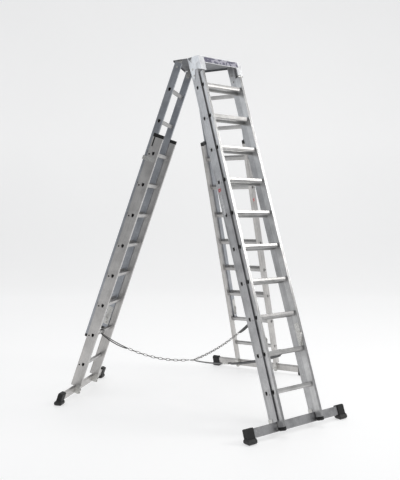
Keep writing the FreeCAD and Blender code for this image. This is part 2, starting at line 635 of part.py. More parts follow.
def head_trim_above():
    """Block above the head's top plane, in the climbing leg's frame."""
    block = box((-1000, 1000), (-1000, 1000), (HEAD_TOP, HEAD_TOP + 1000))
    return placed(block, leg_frame("a").inverse())


def panel_face():
    """y of the front panel's inner face in the climbing leg's frame."""
    return -(SECTION_GAP["a"] + FLY_DEPTH / 2 + PANEL_CLEARANCE)


def head_yoke():
    """Side plates bolted to the climbing leg's base stiles, joined by the front panel."""
    edge = BASE_WIDTH / 2
    front = panel_face()
    panel_top = head_level(front)
    outline = [(front - SHEET, 60), (BASE_INNER, 60), (BASE_INNER, -100), (24, -196), (14, -214),
               (2, -196), (-12, -150), (-24, -124), (-44, panel_top - 96), (front, panel_top - EAR_HEIGHT),
               (front - SHEET, panel_top - EAR_HEIGHT)]
    notch = [(4, -52), (-14, 0), (-14, 80), (34, 80), (34, 0)]
    plates = [prism_x(outline, side * edge, side * (edge + SHEET)).cut(
        prism_x(notch, side * (edge - 1), side * (edge + SHEET + 1))) for side in SIDES.values()]
    panel = box((-edge, edge), (front - SHEET, front), (panel_top - PANEL_HEIGHT, 60))
    ears = [box((side * edge, side * (edge - EAR_WIDTH)), (front - SHEET, front),
                (panel_top - EAR_HEIGHT, 0)) for side in SIDES.values()]
    holes = [cylinder(BOLT / 2, Vector(-edge - 10, y, z), X_AXIS, 2 * edge + 20)
             for y, z in yoke_bolt_places()]
    pin_y, pin_z = lock_pin_place()
    holes.append(cylinder(LOCK_PIN / 2 + HINGE_FIT, Vector(edge - 1, pin_y, pin_z), X_AXIS, SHEET + 2))
    return cut_all(fused(plates + [panel] + ears), holes + [head_trim_above()])


def yoke_bolt_places():
    return [(8.0, -106.0), (8.0, -166.0)]


def yoke_bolts():
    """Bolts through each side plate and base stile."""
    edge = BASE_WIDTH / 2 + SHEET
    bolts = []
    for side in SIDES.values():
        for y, z in yoke_bolt_places():
            bolts.append(hex_bolt(Vector(side * edge, y, z), Vector(-side, 0, 0), BASE_BOX + SHEET))
    return bolts


def yoke_stile(side):
    """Climbing leg's base stile with the head's bolt holes and, on the right, the pull pin's hole."""
    edge = BASE_WIDTH / 2
    drills = [cylinder(BOLT / 2, Vector(side * (edge + 1), y, z), Vector(-side, 0, 0), BASE_BOX + 2)
              for y, z in yoke_bolt_places()]
    if side > 0:
        pin_y, pin_z = lock_pin_place()
        drills.append(cylinder(LOCK_PIN / 2 + HINGE_FIT, Vector(edge - GUIDE_HOOK - 1, pin_y, pin_z),
                               X_AXIS, GUIDE_HOOK + 2))
    return cut_all(bolted_stile("a", side), drills + [head_trim_above()])


def label_plate():
    """Thin printed plate on the front panel."""
    front = panel_face() - SHEET
    panel_top = head_level(front)
    half = BASE_WIDTH / 2 - EAR_WIDTH
    return box((-half, half + 20), (front - 0.8, front), (panel_top - 54, panel_top - 8))


def deck_grip():
    """Low rubber grip on the deck."""
    front = -radius_at("a", base_box_outer("a"), BASE_TOP["a"])
    return placed(prism_x(bevelled((0, 0), (26, 12), 4), -62, 62),
                  Placement(Vector(-25, front + 20, HEAD_TOP), Rotation()))


def lock_pin_place():
    """Pull pin's (y, z): just in front of the base stile's box, below the bolts' mid height."""
    return base_box_outer("a") - LOCK_PIN / 2 - 1.0, -128.0


def lock_pin():
    """Pull pin with a ball end through the right side plate."""
    pin_y, pin_z = lock_pin_place()
    start = Vector(FLY_WIDTH / 2 + 1.5, pin_y, pin_z)
    tip_to_ball = 62.0
    rod = cylinder(LOCK_PIN / 2, start, X_AXIS, tip_to_ball)
    ball = Part.makeSphere(8.5, start + X_AXIS * tip_to_ball)
    return fused([rod, ball])


# ---- tether -------------------------------------------------------------------------------------
def tether_line(leg):
    """Points of one tether arm from under its rung to the centre ring, sagging on the way."""
    under_loop = LOOP_RADIUS + STRAP_THICKNESS / 2
    start = leg_frame(leg).multVec(Vector(0, 0, -TETHER_LEVEL * RUNG_PITCH - under_loop))
    flat = Vector(RING_CENTRE.x - start.x, RING_CENTRE.y - start.y, 0)
    link_end = 0 if leg == "a" else CHAIN_WIRE
    end = RING_CENTRE - flat.normalize() * (RING_RADIUS + RING_WIRE / 2 + RING_GAP + link_end)
    return start, end


def arm_point(leg, share):
    """Point at a share of the way along an arm, 0 at the rung and 1 at the ring."""
    start, end = tether_line(leg)
    sag = 4 * ARM_SAG[leg] * share * (1 - share)
    return start + (end - start) * share - Vector(0, 0, sag)


def flat_frame(point, direction):
    """Placement with x along the direction, y level across it and z above it."""
    ahead = Vector(direction)
    ahead.normalize()
    side = Z_AXIS.cross(ahead).normalize()
    above = ahead.cross(side)
    matrix = FreeCAD.Matrix(ahead.x, side.x, above.x, point.x, ahead.y, side.y, above.y, point.y,
                            ahead.z, side.z, above.z, point.z, 0, 0, 0, 1)
    return Placement(matrix)


def chain_link(upright):
    """Welded link: two straights and two half turns of round wire, centred on the origin."""
    wire = CHAIN_WIRE / 2
    bend = CHAIN_WIDTH / 2 - wire
    straight = CHAIN_PITCH / 2 + wire - bend
    pieces = []
    for sign in (-1, 1):
        pieces.append(cylinder(wire, Vector(-straight, sign * bend, 0), X_AXIS, 2 * straight))
        turn = Part.makeTorus(bend, wire, Vector(sign * straight, 0, 0), Z_AXIS, -180, 180, 180)
        turn.rotate(Vector(sign * straight, 0, 0), Z_AXIS, -90 if sign > 0 else 90)
        pieces.append(turn)
    link = fused(pieces)
    if upright:
        link.rotate(Vector(0, 0, 0), X_AXIS, 90)
    return link


def chain(leg):
    """Chain part of an arm, from the strap's end to the centre ring."""
    first = STRAP_SHARE[leg]
    start, end = tether_line(leg)
    span = (end - start).Length * (1 - first)
    step = CHAIN_PITCH + 0.4
    count = int(span / step)
    links = []
    for number in range(count):
        share = 1 - (number + 0.5) * (1 - first) / count
        ahead = arm_point(leg, share + 0.004) - arm_point(leg, share - 0.004)
        links.append(placed(chain_link(number % 2 == 1), flat_frame(arm_point(leg, share), ahead)))
    return group(links)


def strap_band(points):
    """Flat webbing along points in an upright plane, in short straight lengths with round joints."""
    pieces = []
    for begin, finish in zip(points, points[1:]):
        frame = flat_frame(begin, finish - begin)
        band = box((0, (finish - begin).Length), (-STRAP_WIDTH / 2, STRAP_WIDTH / 2),
                   (-STRAP_THICKNESS / 2, STRAP_THICKNESS / 2))
        level = frame.Rotation.multVec(Y_AXIS)
        joint = cylinder(STRAP_THICKNESS / 2, finish - level * (STRAP_WIDTH / 2), level, STRAP_WIDTH)
        pieces += [placed(band, frame), joint]
    return fused(pieces[:-1])


def rung_loop(leg):
    """Round eye of webbing that turns freely on a rung."""
    centre = Vector(-STRAP_WIDTH / 2, 0, -TETHER_LEVEL * RUNG_PITCH)
    outer = cylinder(LOOP_RADIUS + STRAP_THICKNESS, centre, X_AXIS, STRAP_WIDTH)
    inner = cylinder(LOOP_RADIUS, centre, X_AXIS, STRAP_WIDTH)
    return placed(outer.cut(inner), leg_frame(leg))


def strap(leg):
    """Webbing strap from its loop round the rung towards the ring."""
    start, end = tether_line(leg)
    last = STRAP_SHARE[leg] - (CHAIN_WIRE + 1.0) / (end - start).Length
    lengths = 9
    points = [arm_point(leg, last * number / lengths) for number in range(lengths + 1)]
    return fused([rung_loop(leg), strap_band(points)])


def ring_strap():
    """Short strap between the buckle and the centre ring on the climbing leg's arm."""
    lengths = 5
    run = 1 - SHORT_STRAP_SHARE
    return strap_band([arm_point("a", SHORT_STRAP_SHARE + run * number / lengths)
                       for number in range(lengths + 1)])


def buckle_frame():
    ahead = arm_point("a", SHORT_STRAP_SHARE) - arm_point("a", STRAP_SHARE["a"])
    return flat_frame(arm_point("a", BUCKLE_SHARE), ahead)


def buckle():
    """Cam buckle body: a folded frame with a cross pin for its lever."""
    half = 34.0
    frame = box((-half, half), (-19, 19), (-4, 11))
    channel = box((-half - 1, half + 1), (-14, 14), (-2, 12))
    slots = [box((x - 3, x + 3), (-13.5, 13.5), (-5, 0)) for x in (-24, 24)]
    pin = cylinder(LEVER_PIN / 2, Vector(LEVER_STATION, -15, LEVER_LIFT), Y_AXIS, 30)
    return placed(fused([cut_all(frame, [channel] + slots), pin]), buckle_frame())


def buckle_lever():
    """Pressed lever that turns on the buckle's cross pin and lies along the frame."""
    width = 25.0
    hub = Vector(LEVER_STATION, -width / 2, LEVER_LIFT)
    plate = box((-24, LEVER_STATION), (-width / 2, width / 2), (LEVER_LIFT, LEVER_LIFT + 2.5))
    barrel = cylinder(LEVER_PIN / 2 + 2.5, hub, Y_AXIS, width)
    bore = cylinder(LEVER_PIN / 2 + HINGE_FIT, hub, Y_AXIS, width)
    return placed(fused([plate, barrel]).cut(bore), buckle_frame())


def centre_ring():
    """Round steel ring that the three arms meet at."""
    return Part.makeTorus(RING_RADIUS, RING_WIRE / 2, RING_CENTRE, Z_AXIS)


# ---- assembly -----------------------------------------------------------------------------------
def leg_nodes(leg):
    """Every node of one leg, in the ladder's frame."""
    frame = leg_frame(leg)
    nodes = {}
    for name, side in SIDES.items():
        stile = yoke_stile(side) if leg == "a" else bolted_stile(leg, side)
        nodes[f"{leg}_base_stile_{name}"] = placed(stile, frame)
        nodes[f"{leg}_fly_stile_{name}"] = placed(fly_stile(leg, side), frame)
    makers = {"base_rungs": base_rungs, "crossbar": crossbar,
              "bar_clips": bar_clips, "bolts": leg_bolts, "fly_rungs": fly_rungs,
              "fly_caps": fly_caps, "fly_shoes": fly_shoes, "rung_hooks": rung_hooks}
    for name, maker in makers.items():
        nodes[f"{leg}_{name}"] = placed(maker(leg), frame)
    if leg != "a":
        nodes[f"{leg}_base_caps"] = placed(base_caps(leg), frame)
        nodes[f"{leg}_guide_brackets"] = placed(guide_brackets(leg), frame)
    nodes[f"{leg}_feet"] = group([foot(leg, side) for side in SIDES.values()])
    return nodes


def head_nodes():
    frame = leg_frame("a")
    return {"head_deck": head_deck(),
            "head_yoke": placed(head_yoke(), frame),
            "head_label": placed(label_plate(), frame),
            "hinge_lugs": group([lug for leg in HINGED_LEGS for lug in hinge_lugs(leg)]),
            "hinge_pins": group([placed(pin, leg_frame(leg)) for leg in HINGED_LEGS
                                 for pin in hinge_pins(leg)]),
            "deck_grip": deck_grip(),
            "lock_pin": placed(lock_pin(), frame)}


def tether_nodes():
    return {"a_strap": strap("a"), "ring_strap": ring_strap(), "buckle": buckle(),
            "buckle_lever": buckle_lever(), "centre_ring": centre_ring(),
            "b_strap": strap("b"), "b_chain": chain("b"), "c_strap": strap("c"), "c_chain": chain("c")}


def all_nodes():
    """Every node, moved so that the origin is under the middle of the whole ladder."""
    nodes = head_nodes()
    for leg in LEG_TURN:
        nodes.update(leg_nodes(leg))
    nodes.update(tether_nodes())
    bounds = Part.makeCompound(list(nodes.values())).BoundBox
    shift = Vector(-(bounds.XMin + bounds.XMax) / 2, -(bounds.YMin + bounds.YMax) / 2, -bounds.ZMin)
    for shape in nodes.values():
        shape.translate(shift)
    return nodes, shift


NODES, SHIFT = all_nodes()
os.makedirs("parts", exist_ok=True)
for node_name, node_shape in NODES.items():
    node_shape.exportStep(f"parts/{node_name}.step")
print(len(NODES), "nodes, shift", SHIFT)
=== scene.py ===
"""Finish and staging of a free-standing, three-legged extension ladder.

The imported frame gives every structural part. This script dresses each of them, adds the webbing,
stickers and lip plugs, and sets the floor, lights and camera.
"""
import json
import logging
import math
from dataclasses import dataclass, field
from enum import Enum

import bmesh
import bpy
from mathutils import Matrix, Vector

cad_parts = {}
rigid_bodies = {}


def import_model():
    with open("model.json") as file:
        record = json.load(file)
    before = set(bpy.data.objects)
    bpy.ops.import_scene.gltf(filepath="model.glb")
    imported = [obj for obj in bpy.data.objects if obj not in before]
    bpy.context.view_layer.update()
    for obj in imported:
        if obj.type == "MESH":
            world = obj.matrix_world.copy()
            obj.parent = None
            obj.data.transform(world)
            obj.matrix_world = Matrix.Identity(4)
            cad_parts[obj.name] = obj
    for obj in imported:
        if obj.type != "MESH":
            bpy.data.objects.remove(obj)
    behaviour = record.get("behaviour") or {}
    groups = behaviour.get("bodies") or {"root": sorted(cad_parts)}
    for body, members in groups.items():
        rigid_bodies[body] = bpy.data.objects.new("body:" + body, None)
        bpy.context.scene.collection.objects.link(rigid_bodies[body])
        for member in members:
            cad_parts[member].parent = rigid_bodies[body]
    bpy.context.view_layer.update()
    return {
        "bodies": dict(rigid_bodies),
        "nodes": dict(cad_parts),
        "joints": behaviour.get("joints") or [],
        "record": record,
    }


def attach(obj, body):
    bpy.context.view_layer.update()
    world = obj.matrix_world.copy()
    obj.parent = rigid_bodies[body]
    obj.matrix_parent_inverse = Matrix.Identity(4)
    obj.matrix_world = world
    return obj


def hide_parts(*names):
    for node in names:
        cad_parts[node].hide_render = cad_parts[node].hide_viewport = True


log = logging.getLogger("ladder")

# frame of the ladder, in metres
LEAN = math.radians(19.4)
RUNG_PITCH = 0.28
LEVEL_0 = 2.936          # height of level 0 above the ground
SHIFT = Vector((-0.077385, -0.024219, 0.0))   # hub in the row frame
STILE_FACE = 0.225       # middle of a leg to the outer faces of its base stiles
BASE_LEVELS = range(3, 11)    # rung levels of a support leg's base section
# tether
TETHER_LEVEL = 9         # rungs that the arms hang from
RING = Vector((-0.086, 0.066, 0.335)) + SHIFT
RING_REACH = 0.027       # ring centre to the end of the climbing leg's arm
LINK_END = 0.005         # wire of the link between a chain arm's end and the ring
WEAVE_MAP = "weave"      # UV map that the webbing's finish asks for


class Leg(Enum):
    """The three legs: turn about the hub in degrees, and hub to base rung line at level 0."""

    A = (0.0, 0.095)
    B = (220.0, 0.125)
    C = (113.5, 0.144)

    @property
    def key(self) -> str:
        """Lower-case letter that the frame's node names start with."""
        return self.name.lower()

    def frame(self) -> Matrix:
        """Matrix from the leg's own axes (across, towards the hub, up the stile) to the row frame."""
        turn, radius = self.value
        hub = Matrix.Translation(SHIFT + Vector((0, 0, LEVEL_0)))
        return (hub @ Matrix.Rotation(math.radians(turn), 4, "Z")
                @ Matrix.Translation((0, -radius, 0)) @ Matrix.Rotation(-LEAN, 4, "X"))


class Section(Enum):
    """Body that a leg's base section rides on."""

    A = "head_and_climbing_leg"
    B = "b_base"
    C = "c_base"


class Socket:
    """A shader value whose arithmetic adds Math nodes."""

    def __init__(self, nodes: "NodeMaker", link: bpy.types.NodeSocket) -> None:
        """Wraps one output socket.

        Args:
            nodes: maker that adds nodes to the same material.
            link: the output socket to wrap.
        """
        self.nodes = nodes
        self.link = link

    def _math(self, operation: str, first: "Socket | float", second: "Socket | float") -> "Socket":
        """Adds one Math node.

        Args:
            operation: the Math node's operation.
            first: left value.
            second: right value.

        Returns:
            The node's result.
        """
        return self.nodes.add("ShaderNodeMath", {"operation": operation}, {0: first, 1: second})

    def __add__(self, other: "Socket | float") -> "Socket":
        """Sum of this and the other value."""
        return self._math("ADD", self, other)

    def __mul__(self, other: "Socket | float") -> "Socket":
        """Product of this and the other value."""
        return self._math("MULTIPLY", self, other)

    def __rsub__(self, other: "Socket | float") -> "Socket":
        """The other value less this."""
        return self._math("SUBTRACT", other, self)

    def sine(self) -> "Socket":
        """Sine of this value."""
        return self._math("SINE", self, 0.0)

    def span(self, low: float, high: float) -> "Socket":
        """Smooth 0 to 1 between two values.

        Args:
            low: value that gives 0.
            high: value that gives 1.

        Returns:
            The clamped, smoothed share.
        """
        return self.nodes.add("ShaderNodeMapRange", {"interpolation_type": "SMOOTHSTEP"},
                              {"Value": self, "From Min": low, "From Max": high})


class NodeMaker:
    """Adds nodes to one material."""

    def __init__(self, name: str) -> None:
        """Starts a material with an empty node tree.

        Args:
            name: the material's name.
        """
        self.material = bpy.data.materials.new(name)
        self.material.use_nodes = True
        self.tree = self.material.node_tree
        self.tree.nodes.clear()

    def add(self, kind: str, settings: dict[str, object], inputs: dict[str | int, object],
            output: str | int = 0) -> Socket:
        """Adds a node.

        Args:
            kind: the node's type.
            settings: attributes to set first.
            inputs: values or links for its sockets.
            output: which output to return.

        Returns:
            The chosen output, wrapped.
        """
        node = self.tree.nodes.new(kind)
        for key, value in settings.items():
            setattr(node, key, value)
        for key, value in inputs.items():
            if isinstance(value, Socket):
                self.tree.links.new(value.link, node.inputs[key])
            else:
                node.inputs[key].default_value = value
        return Socket(self, node.outputs[output])

    def place(self) -> Socket:
        """Object coordinates, which are those of the row frame."""
        return self.add("ShaderNodeTexCoord", {}, {}, "Object")

    def along(self, frame: Matrix, scale: tuple[float, float, float]) -> Socket:
        """Object coordinates in a leg's own axes, scaled so a pattern can run along the stile.

        Args:
            frame: the leg's frame.
            scale: scale along each of the leg's axes.

        Returns:
            The coordinate vector.
        """
        point = self.place()
        parts = []
        for axis in range(3):
            row = frame.col[axis].to_3d() * scale[axis]
            parts.append(self.add("ShaderNodeVectorMath", {"operation": "DOT_PRODUCT"},
                                  {0: point, 1: tuple(row)}, "Value"))
        return self.add("ShaderNodeCombineXYZ", {}, {0: parts[0], 1: parts[1], 2: parts[2]})

    def noise(self, vector: Socket, scale: float, detail: float = 3.0, roughness: float = 0.5) -> Socket:
        """Noise value.

        Args:
            vector: where to sample.
            scale: the noise's scale.
            detail: octaves.
            roughness: weight of the fine octaves.

        Returns:
            A value near 0.5.
        """
        return self.add("ShaderNodeTexNoise", {}, {"Vector": vector, "Scale": scale, "Detail": detail,
                                                   "Roughness": roughness})

    def blend(self, share: "Socket | float", first: object, second: object) -> Socket:
        """Mix of two colours.

        Args:
            share: 0 gives the first, 1 the second.
            first: a colour or a link.
            second: a colour or a link.

        Returns:
            The mixed colour.
        """
        factor, colour_1, colour_2, result = 0, 6, 7, 2
        return self.add("ShaderNodeMix", {"data_type": "RGBA"},
                        {factor: share, colour_1: first, colour_2: second}, result)

    def bump(self, height: Socket, distance: float, strength: float = 1.0) -> Socket:
        """Normal from a height.

        Args:
            height: the height value.
            distance: metres that a height of 1 stands for.
            strength: share of the effect.

        Returns:
            The normal.
        """
        inputs = {"Height": height, "Distance": distance, "Strength": strength}
        return self.add("ShaderNodeBump", {}, inputs)

    def finish(self, inputs: dict[str, object]) -> bpy.types.Material:
        """Ends the tree in one Principled shader.

        Args:
            inputs: values or links for the shader's sockets.

        Returns:
            The finished material.
        """
        shader = self.add("ShaderNodeBsdfPrincipled", {}, inputs)
        target = self.tree.nodes.new("ShaderNodeOutputMaterial")
        self.tree.links.new(shader.link, target.inputs["Surface"])
        return self.material


def rgb(red: float, green: float, blue: float) -> tuple[float, float, float, float]:
    """Colour with full alpha."""
    return (red, green, blue, 1.0)


@dataclass(frozen=True)
class ExtrudedAluminium:
    """Mill-finish extrusion: fine die lines along the leg, soft blotches and rubbed spots."""

    name: str
    leg: Leg
    along_rung: bool = False
    light: tuple[float, ...] = rgb(0.56, 0.565, 0.58)
    dark: tuple[float, ...] = rgb(0.33, 0.335, 0.345)
    roughness: float = 0.34
    metallic: float = 0.9

    def build(self) -> bpy.types.Material:
        """Makes the material."""
        nodes = NodeMaker(self.name)
        frame = self.leg.frame()
        fine, long = 420.0, 3.0
        stretch = (long, fine, fine) if self.along_rung else (fine, fine, long)
        lines = nodes.noise(nodes.along(frame, stretch), scale=1.0, detail=2.0)
        plain = nodes.along(frame, (1.0, 1.0, 1.0))
        blotch = nodes.noise(plain, scale=9.0, detail=4.0, roughness=0.6)
        rubbed = nodes.noise(plain, scale=55.0, detail=5.0, roughness=0.65).span(0.56, 0.72)
        slanted = nodes.along(frame, (260.0, 35.0, 60.0))
        scratch = nodes.noise(slanted, scale=1.0, detail=3.0, roughness=0.7).span(0.66, 0.72)
        tone = (lines * 0.45 + blotch * 0.55).span(0.32, 0.68)
        colour = nodes.blend(tone, self.dark, self.light)
        colour = nodes.blend(rubbed * 0.35, colour, rgb(0.80, 0.80, 0.80))
        colour = nodes.blend(scratch * 0.4, colour, rgb(0.36, 0.36, 0.37))
        rough = lines * 0.14 + blotch * 0.16 + rubbed * 0.08 + (self.roughness - 0.15)
        normal = nodes.bump(lines + scratch * -0.6, distance=0.00012, strength=0.6)
        return nodes.finish({"Base Color": colour, "Metallic": self.metallic, "Roughness": rough,
                             "Normal": normal})


@dataclass(frozen=True)
class SheetMetal:
    """Rolled or plated sheet and small hardware: faint mottling, fine grain and finger marks."""

    name: str
    light: tuple[float, ...] = rgb(0.72, 0.735, 0.76)
    dark: tuple[float, ...] = rgb(0.52, 0.535, 0.56)
    roughness: float = 0.36
    mottle: float = 30.0

    def build(self) -> bpy.types.Material:
        """Makes the material."""
        nodes = NodeMaker(self.name)
        point = nodes.place()
        mottle = nodes.noise(point, self.mottle, detail=5.0, roughness=0.62)
        grain = nodes.noise(point, scale=900.0, detail=2.0)
        marks = nodes.noise(point, scale=14.0).span(0.55, 0.70)
        colour = nodes.blend(mottle.span(0.3, 0.7), self.dark, self.light)
        colour = nodes.blend(marks * 0.3, colour, rgb(0.55, 0.54, 0.53))
        rough = mottle * 0.2 + grain * 0.08 + marks * 0.12 + (self.roughness - 0.17)
        return nodes.finish({"Base Color": colour, "Metallic": 0.92, "Roughness": rough,
                             "Normal": nodes.bump(grain, distance=0.00006, strength=0.5)})


@dataclass(frozen=True)
class BlackMoulding:
    """Moulded rubber or plastic with a fine texture, scuffs and dust near the ground."""

    name: str
    base: tuple[float, ...] = rgb(0.006, 0.006, 0.0065)
    scuffed: tuple[float, ...] = rgb(0.020, 0.020, 0.021)
    roughness: float = 0.58
    texture: float = 700.0
    dusty: bool = True

    def build(self) -> bpy.types.Material:
        """Makes the material."""
        nodes = NodeMaker(self.name)
        point = nodes.place()
        grain = nodes.noise(point, self.texture)
        scuff = nodes.noise(point, scale=60.0, detail=5.0, roughness=0.7).span(0.52, 0.70)
        colour = nodes.blend(scuff * 0.7, self.base, self.scuffed)
        if self.dusty:
            height = nodes.add("ShaderNodeSeparateXYZ", {}, {0: point}, "Z")
            near_ground = 1.0 - height.span(0.0, 0.05)
            dust = near_ground * nodes.noise(point, scale=35.0, detail=4.0)
            colour = nodes.blend(dust * 0.35, colour, rgb(0.16, 0.155, 0.15))
        rough = grain * 0.2 + scuff * 0.15 + (self.roughness - 0.12)
        return nodes.finish({"Base Color": colour, "Metallic": 0.0, "Roughness": rough,
                             "Normal": nodes.bump(grain, distance=0.0002, strength=0.5)})


@dataclass(frozen=True)
class Webbing:
    """Woven strap: ribs across, two raised selvedges and a worn face."""

    name: str
    base: tuple[float, ...] = rgb(0.055, 0.055, 0.058)
    worn: tuple[float, ...] = rgb(0.15, 0.15, 0.152)
    rib_turns: float = 2200.0     # radians of rib per metre ahead
    warp_turns: float = 2800.0    # radians of warp per metre across

    def build(self) -> bpy.types.Material:
        """Makes the material."""
        nodes = NodeMaker(self.name)
        place = nodes.add("ShaderNodeUVMap", {"uv_map": WEAVE_MAP}, {})
        across = nodes.add("ShaderNodeSeparateXYZ", {}, {0: place}, "X")
        ahead = nodes.add("ShaderNodeSeparateXYZ", {}, {0: place}, "Y")
        rib = (ahead * self.rib_turns).sine()
        warp = (across * self.warp_turns).sine()
        weave = rib * 0.5 + warp * rib * 0.5
        point = nodes.place()
        wear = nodes.noise(point, scale=80.0, detail=4.0, roughness=0.6)
        colour = nodes.blend(weave * 0.25 + wear * 0.7, self.base, self.worn)
        return nodes.finish({"Base Color": colour, "Metallic": 0.0, "Roughness": wear * 0.2 + 0.7,
                             "Sheen Weight": 0.25,
                             "Normal": nodes.bump(weave, distance=0.0002, strength=0.8)})


@dataclass(frozen=True)
class Sticker:
    """Plain vinyl sticker with soft blocks of a second tone and no lettering."""

    name: str
    ground: tuple[float, ...]
    block: tuple[float, ...]
    scale: float = 60.0

    def build(self) -> bpy.types.Material:
        """Makes the material."""
        nodes = NodeMaker(self.name)
        point = nodes.place()
        patch = nodes.noise(point, self.scale, detail=1.0).span(0.52, 0.56)
        worn = nodes.noise(point, scale=160.0, detail=4.0, roughness=0.6)
        colour = nodes.blend(patch, self.ground, self.block)
        colour = nodes.blend(worn.span(0.55, 0.75) * 0.3, colour, rgb(0.62, 0.62, 0.62))
        return nodes.finish({"Base Color": colour, "Metallic": 0.0, "Roughness": worn * 0.2 + 0.3,
                             "Coat Weight": 0.2,
                             "Normal": nodes.bump(worn, distance=0.00005, strength=0.4)})


@dataclass(frozen=True)
class StudioFloor:
    """Pale seamless floor with the faintest mottling."""

    name: str = "studio_floor"

    def build(self) -> bpy.types.Material:
        """Makes the material."""
        nodes = NodeMaker(self.name)
        point = nodes.place()
        tone = nodes.noise(point, scale=0.6, detail=2.0)
        colour = nodes.blend(tone, rgb(0.50, 0.50, 0.50), rgb(0.54, 0.54, 0.54))
        return nodes.finish({"Base Color": colour, "Metallic": 0.0, "Roughness": tone * 0.1 + 0.6,
                             "Emission Color": rgb(1.0, 1.0, 1.0), "Emission Strength": 0.53})


def new_piece(name: str, mesh: bmesh.types.BMesh, material: bpy.types.Material, body: str,
              smooth: bool = True) -> bpy.types.Object:
    """Turns a bmesh into an object that rides on a body.

    Args:
        name: the piece's name.
        mesh: its mesh, in the row frame.
        material: its finish.
        body: the body it rides on.
        smooth: whether faces are shaded smooth.

    Returns:
        The new object.
    """
    data = bpy.data.meshes.new(name)
    bmesh.ops.recalc_face_normals(mesh, faces=mesh.faces)
    mesh.to_mesh(data)
    mesh.free()
    piece = bpy.data.objects.new(name, data)
    bpy.context.scene.collection.objects.link(piece)
    data.materials.append(material)
    for face in data.polygons:
        face.use_smooth = smooth
    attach(piece, body)
    log.info("%s: %d faces on %s", name, len(data.polygons), body)
    return piece


@dataclass
class DressedSections:
    """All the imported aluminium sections, with one finish per leg and direction."""

    frame: dict[str, object]
    finishes: dict[str, bpy.types.Material] = field(default_factory=dict)

    def dress(self) -> None:
        """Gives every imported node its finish."""
        for leg in Leg:
            self.mix_aluminium(leg)
        self.mix_sheet_metals()
        self.mix_soft_finishes()
        for name, node in self.frame["nodes"].items():
            material = self.finishes[self.finish_for(name)]
            node.data.materials.clear()
            node.data.materials.append(material)
            log.info("%s dressed in %s", name, material.name)

    def mix_aluminium(self, leg: Leg) -> None:
        """Makes one leg's finishes: base stiles and bar, fly stiles, and rungs; the stile and fly tones
        hold painted light and painted shade.

        Args:
            leg: the leg.
        """
        climbing = leg is Leg.A
        # The support legs' base stiles and bars are lighter and warmer than their flies: painted light
        # from the floor on the lower sections.
        self.finishes[f"{leg.key}_stile"] = ExtrudedAluminium(
            f"{leg.key}_stile_aluminium", leg,
            light=rgb(0.58, 0.58, 0.585) if climbing else rgb(0.64, 0.625, 0.61),
            dark=rgb(0.36, 0.36, 0.365) if climbing else rgb(0.44, 0.43, 0.42)).build()
        # The climbing leg's fly is near white, a painted highlight on its front flanges; the support
        # legs' flies are darker and cooler, painted shade on the upper sections.
        self.finishes[f"{leg.key}_fly"] = ExtrudedAluminium(
            f"{leg.key}_fly_aluminium", leg,
            light=rgb(0.70, 0.70, 0.70) if climbing else rgb(0.48, 0.50, 0.53),
            dark=rgb(0.46, 0.46, 0.46) if climbing else rgb(0.31, 0.325, 0.355)).build()
        self.finishes[f"{leg.key}_rung"] = ExtrudedAluminium(
            f"{leg.key}_rung_aluminium", leg, along_rung=True, light=rgb(0.58, 0.575, 0.57),
            dark=rgb(0.38, 0.375, 0.37), roughness=0.36).build()

    def mix_sheet_metals(self) -> None:
        """Makes the finishes of the head, with painted shade on the deck and painted light on the yoke,
        and of the small hardware.
        """
        # The deck is dark grey: painted shade on its underside, which the camera sees from below.
        self.finishes["deck"] = SheetMetal(
            "deck_sheet_painted_shade", light=rgb(0.24, 0.245, 0.26), dark=rgb(0.13, 0.135, 0.145),
            roughness=0.42).build()
        # The yoke is near white: painted light on the lit head plates, the same sheet metal as the deck.
        self.finishes["yoke"] = SheetMetal(
            "yoke_sheet_painted_light", light=rgb(0.90, 0.91, 0.92), dark=rgb(0.74, 0.75, 0.77),
            roughness=0.40).build()
        self.finishes["zinc"] = SheetMetal(
            "zinc_hardware", light=rgb(0.74, 0.74, 0.72), dark=rgb(0.48, 0.47, 0.45),
            roughness=0.33, mottle=140.0).build()
        self.finishes["chain"] = SheetMetal(
            "chain_zinc", light=rgb(0.36, 0.35, 0.34), dark=rgb(0.17, 0.165, 0.16),
            roughness=0.36, mottle=220.0).build()

    def mix_soft_finishes(self) -> None:
        """Makes the finishes of the mouldings, the webbing and the label."""
        self.finishes["rubber"] = BlackMoulding("foot_rubber").build()
        self.finishes["plastic"] = BlackMoulding("cap_plastic", roughness=0.42, texture=1100.0,
                                                 dusty=False).build()
        self.finishes["strap"] = Webbing("climbing_leg_webbing").build()
        self.finishes["pale_strap"] = Webbing("support_leg_webbing", base=rgb(0.085, 0.085, 0.085),
                                              worn=rgb(0.22, 0.22, 0.215)).build()
        self.finishes["label"] = Sticker("head_label_print", rgb(0.13, 0.125, 0.18),
                                         rgb(0.42, 0.41, 0.47), 28.0).build()

    @staticmethod
    def finish_for(name: str) -> str:
        """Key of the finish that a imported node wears.

        Args:
            name: the node's name.

        Returns:
            A key of the finishes.
        """
        leg = name[0]
        if "base_stile" in name or name.endswith("crossbar"):
            return f"{leg}_stile"
        if "fly_stile" in name:
            return f"{leg}_fly"
        if name.endswith("_rungs"):
            return f"{leg}_rung"
        if name in ("head_deck", "head_yoke"):
            return name.removeprefix("head_")
        if name.endswith("_feet") or name == "deck_grip":
            return "rubber"
        if name.endswith("_caps"):
            return "plastic"
        if name.endswith("_chain") or name == "centre_ring":
            return "chain"
        if name in ("b_strap", "c_strap"):
            return "pale_strap"
        if name.endswith("strap"):
            return "strap"
        return "label" if name == "head_label" else "zinc"


